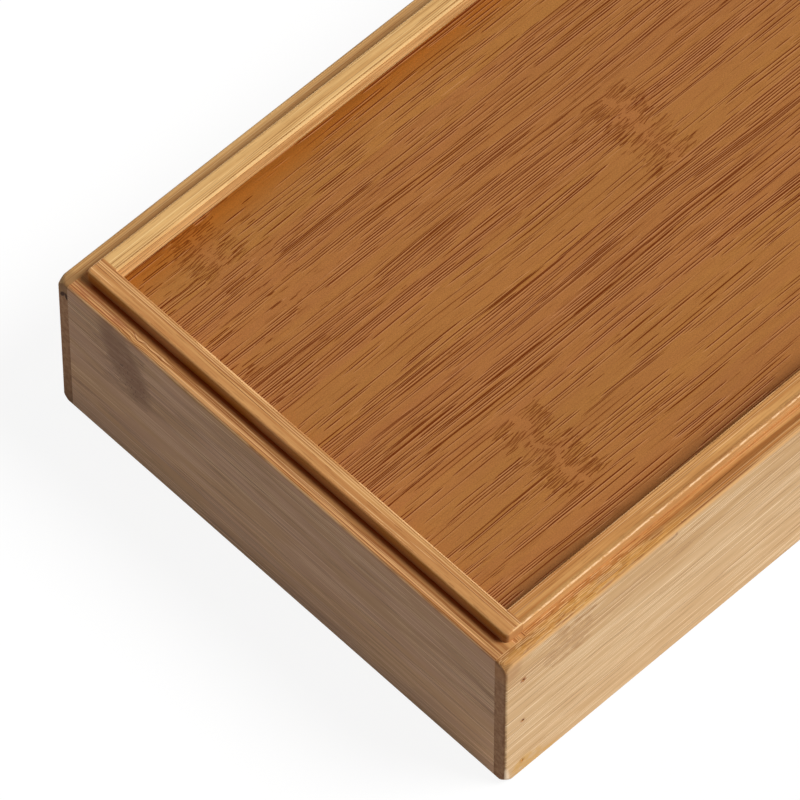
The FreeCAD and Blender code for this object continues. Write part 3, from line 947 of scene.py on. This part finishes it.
def back_ledge_marks(colour, x, y, up):
    """Dark and pale seams along the outer half of the ledge, and streaks towards its end."""
    ledge = up.rise(0.6, 0.9) * y.rise(172 * MM, 174 * MM)
    seams = fibres(x, y, 1.3 * MM, 120 * MM, 0.60 * MM, 0.62, 91.0)
    colour = blend(seams * ledge * 0.75, colour, DARK_SEAM)
    shine = fibres(x, y + 0.6 * MM, 1.3 * MM, 90 * MM, 0.55 * MM, 0.62, 95.0)
    colour = blend(shine * ledge * 0.42, colour, PALE_SEAM)
    streaks = noise(y / (0.9 * MM), x / (14 * MM), detail=2.0).rise(0.4, 0.6)
    ledge_end = spot(x, y, 108.0, 175.0, 18.0, 3.0) * up.rise(0.5, 0.9)
    return blend(streaks * ledge_end * 0.6, colour, STREAK)


def back_marks(colour, place, faces):
    """The marks of face and ledge, and warm painted shade on the tongue's side faces between them."""
    x, y, z = place["X"], place["Y"], place["Z"]
    out = faces["Y"].rise(0.5, 0.9)
    colour = back_face_marks(colour, x, z, out)
    # warm painted shade on the tongue's side faces
    colour = blend(out * z.above(LEDGE_Z) * 0.55, colour, TONGUE_SIDE)
    return back_ledge_marks(colour, x, y, faces["Z"])


print("the knot lies", round(CASE_X / MM - KNOT_AT, 1), "mm from the corner")

# %% Marks of the other long board
STAINED_CORNER = shade(140, 104, 66)
# painted shade inside the small chipped-out hole
CHIP = shade(66, 36, 16)
CHIP_HEIGHT = 77.5


def right_marks(colour, place, faces):
    """A tongue that darkens outwards, painted shade on the outer rim, a stained corner, and a chip of two
    short dark strokes that paint the shade inside a small hole.
    """
    x, y, z = place["X"], place["Y"], place["Z"]
    colour = toned(colour, abs(x).rise(111 * MM, 118 * MM) * z.above(LEDGE_Z) * -0.10 + 1.03)
    # painted shade on the board's outer rim
    colour = toned(colour, abs(x).rise(125.6 * MM, 126.6 * MM) * z.above(FACE_TOP - 1 * MM) * -0.22 + 1.0)
    colour = blend(spot(y, z, 177.0, 84.0, 6.0, 7.0) * 0.6, colour, STAINED_CORNER)
    # the chip, painted dark as the shade inside a small hole
    chip = spot(x, z + (x - 123.8 * MM) * 0.9, 123.8, CHIP_HEIGHT - 0.1, 1.6, 1.6)
    chip = chip.largest(spot(x, z - (x - 121.6 * MM) * 0.6, 121.6, CHIP_HEIGHT + 0.1, 1.0, 2.2))
    return blend(chip * faces["Y"].rise(0.3, 0.7) * y.above(0.0), colour, CHIP)


print("the chip lies", CHIP_HEIGHT, "mm up")

# %% [markdown]
# ## The case
#
# Each board of the case gets a bamboo of its own, because no two came from the same canes: the lit
# long board is natural, the other one yellower, and the closed end greyer, with a smoky knot, soot
# specks and the strongest painted shade in its inside corner. A solid piece keeps its shape and
# takes a material in every slot that it has.

# %% Dress the case
LONG_STRIPS = (Strip(28.0, -60.0, 0.35, 0.45), Strip(58.0, -145.0, 0.4, 0.38),
               Strip(999.0, 143.0, 0.6, 0.78))
BACK_STRIPS = (Strip(44.0, -300.0, 0.5), Strip(999.0, 88.0, 0.6))
PLAIN_STRIPS = (Strip(999.0, 999.0),)


def dress(material, *names):
    """Gives a material to solid pieces, in every slot that they have."""
    for name in names:
        piece = frame["nodes"][name]
        if not piece.material_slots:
            piece.data.materials.append(material)
        for slot in piece.material_slots:
            slot.material = material
    print(material.name, "on", ", ".join(names))


dress(board_bamboo("long_board_left", "Y", "X", "Z", LONG_STRIPS, 2.0, NATURAL, CASE_X, dirt=0.0,
                   rubbed=0.08, crest=(0.0, 0.0), rim=0.20, sides=1.24, curl=150.0, marks=left_marks),
      "side_board_left")
dress(board_bamboo("long_board_right", "Y", "X", "Z", LONG_STRIPS, 14.0, YELLOWER, CASE_X, dirt=0.4,
                   rubbed=0.60, crest=(1.0, 0.1), rim=0.0, sides=1.3, marks=right_marks),
      "side_board_right")
dress(board_bamboo("back_board_bamboo", "X", "Y", "Z", BACK_STRIPS, 33.0, GREYER, CASE_Y, dirt=1.0,
                   rubbed=0.25, crest=(0.66, 0.95), rim=1.15, sides=0.95, curl=78.0, marks=back_marks),
      "back_board")
dress(board_bamboo("front_rail_bamboo", "X", "Y", "Z", PLAIN_STRIPS, 47.0, NATURAL, CASE_Y),
      "front_top_rail", "front_bottom_rail")
dress(CARAMEL, "top_panel")

# %% [markdown]
# ## The drawer and the inner pieces
#
# The drawer, its dividers, the floors and the runners are plain natural bamboo. They differ only in
# their strips, in the seed of their noise and in the way that the board lies, so a table says it all:
# the three letters are the axes along the grain, through the face and across the width.

# %% Dress the drawer and the inner pieces
DRAWER_STRIPS = (Strip(38.0, 60.0), Strip(999.0, -55.0))
SIDE_STRIPS = (Strip(44.0, 90.0), Strip(999.0, -80.0))
GRID_STRIPS = (Strip(45.0, -110.0), Strip(999.0, 45.0))
FLOOR_STRIPS = (Strip(-60.0, 50.0), Strip(-20.0, -100.0), Strip(20.0, 120.0), Strip(60.0, -30.0),
                Strip(999.0, 80.0))
INNER_BOARDS = (
    ("drawer_front_bamboo", "XYZ", DRAWER_STRIPS, 55.0, ("drawer_front",)),
    ("drawer_back_bamboo", "XYZ", DRAWER_STRIPS, 61.0, ("drawer_back",)),
    ("drawer_side_bamboo", "YXZ", SIDE_STRIPS, 68.0, ("drawer_side_left", "drawer_side_right")),
    ("long_divider_bamboo", "YXZ", GRID_STRIPS, 75.0, ("long_divider_1", "long_divider_2")),
    ("cross_divider_bamboo", "XYZ", GRID_STRIPS, 82.0,
     ("cross_divider_1", "cross_divider_2", "cross_divider_3")),
    ("floor_bamboo", "YZX", FLOOR_STRIPS, 90.0, ("drawer_bottom", "bottom_panel")),
    ("runner_bamboo", "YZX", PLAIN_STRIPS, 96.0, ("runner_left", "runner_right")),
)
for name, axes, strips, seed, pieces in INNER_BOARDS:
    dress(board_bamboo(name, *axes, strips, seed), *pieces)

# %% [markdown]
# ## Brads
#
# The brads are bits of blackened wire, punched just under the surface. A little noise between two
# browns keeps them from looking like paint, and the lowest ones take a painted yellow glint.

# %% Brads
WIRE_DARK = shade(70, 46, 30)
WIRE_LIGHT = shade(130, 96, 66)
# painted yellow glint on the lowest brads
WIRE_UNDER_GLUE = shade(236, 196, 112)
WIRE_METAL = 0.6


def dull_steel():
    """Blackened wire, a little uneven, with a painted yellow glint on the brads near the foot of the box."""
    material = new_material("dull_steel")
    tree = material.node_tree
    place = position(tree)
    mottle = noise(place["Y"] / (0.3 * MM), place["Z"] / (0.3 * MM))
    shader = tree.nodes["Principled BSDF"]
    dull = blend(mottle, WIRE_DARK, WIRE_LIGHT)
    # the lowest brads take a painted yellow glint
    plug(blend(place["Z"].rise(20 * MM, 12 * MM), dull, WIRE_UNDER_GLUE), shader.inputs["Base Color"])
    plug(mottle * 0.2 + 0.45, shader.inputs["Roughness"])
    shader.inputs["Metallic"].default_value = WIRE_METAL
    return material


dress(dull_steel(), "case_brads", "drawer_brads")

# %% [markdown] No piece was added or reshaped, so the dressed box has to be exactly as
# large as the solid one.
